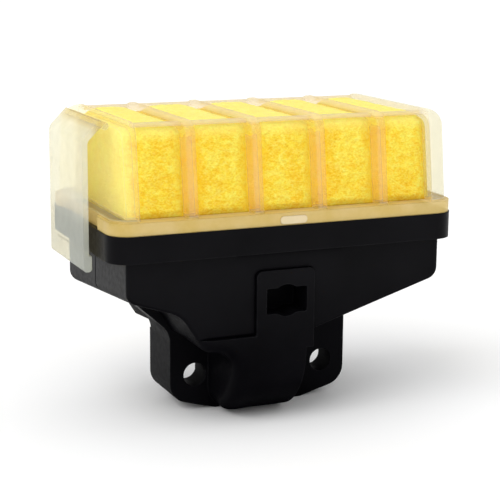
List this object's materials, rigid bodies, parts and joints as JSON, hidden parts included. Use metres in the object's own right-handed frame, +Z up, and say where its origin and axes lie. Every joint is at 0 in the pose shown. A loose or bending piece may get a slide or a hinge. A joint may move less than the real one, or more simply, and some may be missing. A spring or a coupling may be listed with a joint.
{
  "type": "air filter housing",
  "caption": "Small-engine air filter housing: a moulded box that bolts to the carburettor, with a lift-off clear frame, a felt element and a hinged end latch.",
  "frame": {"origin": "midway between the two carburettor stud holes, on the face that meets the carburettor", "axes": "+Y towards the carburettor, +X along the length of the housing, +Z up, the way the filter lifts off"},
  "size_m": [0.0823, 0.0455, 0.0666],
  "materials": {
    "black_plastic": "satin moulded",
    "seal_rubber": "matte",
    "clear_plastic": "cloudy translucent",
    "yellow_felt": "felt",
    "white_plastic": "moulded"
  },
  "bodies": {
    "base": {"housing_body": "black_plastic", "front_shell": "black_plastic", "rim_seal": "seal_rubber", "outlet_seal": "seal_rubber"},
    "filter": {"filter_frame": "clear_plastic", "filter_media": "yellow_felt", "inner_core": "white_plastic"},
    "latch": {"end_latch": "clear_plastic"}
  },
  "joints": [
    {"name": "filter_lift", "type": "slide", "parent": "base", "child": "filter", "axis": [0, 0, 1], "range_m": [0, 0.06]},
    {"name": "latch_swing", "type": "hinge", "parent": "filter", "child": "latch", "pos_m": [-0.0374, -0.0078, 0.0569], "axis": [0, 1, 0], "range_deg": [0, 10], "stiffness_Nm_per_rad": 0.05}
  ]
}
